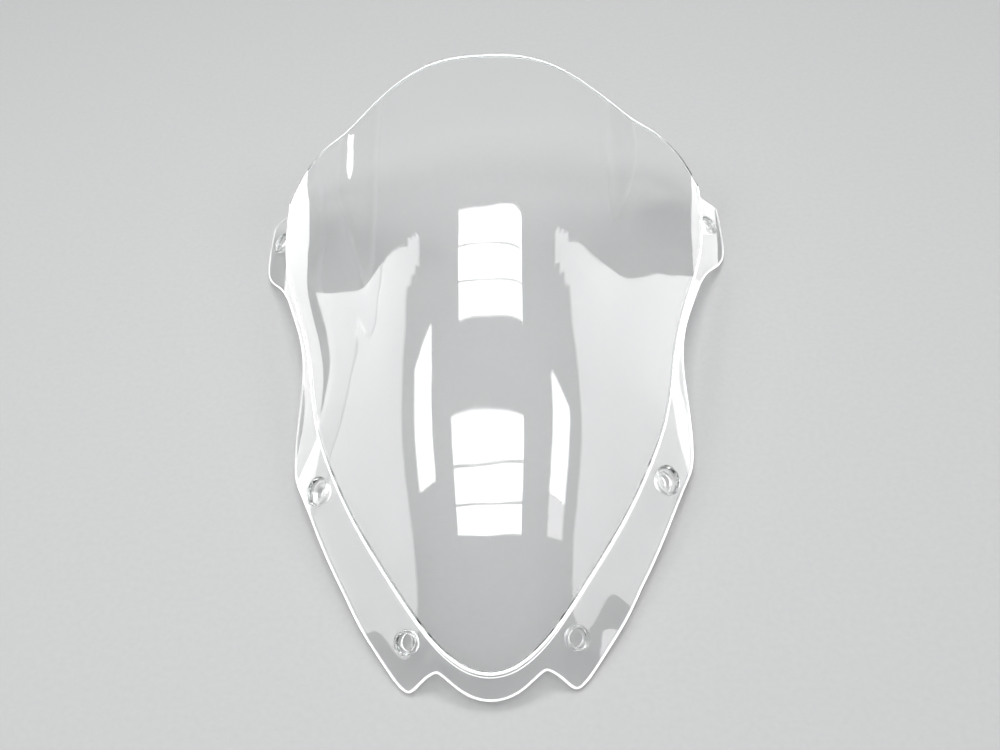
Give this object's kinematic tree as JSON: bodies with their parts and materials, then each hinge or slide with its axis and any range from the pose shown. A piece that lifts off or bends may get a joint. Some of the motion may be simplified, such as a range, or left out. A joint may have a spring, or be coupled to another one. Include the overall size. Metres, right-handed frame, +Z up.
{
  "type": "motorcycle windscreen",
  "caption": "Clear one-piece moulded motorcycle windscreen with a raised double bubble, a stepped mounting flange, two upper ears, a lipped nose and recessed fixing holes.",
  "frame": {"origin": "bottom centre of the bounding box: the screen lies bubble side up on the surface z = 0", "axes": "+Y from the nose lip back to the free top edge, +Z up, +X to the right seen from the nose; the screen is mirror-symmetric about X = 0 apart from the gate land"},
  "size_m": [0.3578, 0.4386, 0.1432],
  "materials": {
    "clear_moulding": "clear gloss acrylic, colourless, 3 mm",
    "sawn_edge": "clear acrylic with a trimmed, slightly frosted face"
  },
  "bodies": {
    "root": {"bubble_pane": "clear_moulding", "nose_lip": "clear_moulding", "joggle_step_nose": "clear_moulding", "joggle_step_left": "clear_moulding", "lower_flange_left": "clear_moulding", "side_flange_left": "clear_moulding", "neck_flange_left": "clear_moulding", "ear_left": "clear_moulding", "lower_boss_left": "clear_moulding", "mid_screw_cup_left": "clear_moulding", "ear_screw_cup_left": "clear_moulding", "joggle_step_right": "clear_moulding", "lower_flange_right": "clear_moulding", "side_flange_right": "clear_moulding", "neck_flange_right": "clear_moulding", "ear_right": "clear_moulding", "lower_boss_right": "clear_moulding", "mid_screw_cup_right": "clear_moulding", "ear_screw_cup_right": "clear_moulding", "gate_land": "sawn_edge"}
  },
  "joints": []
}
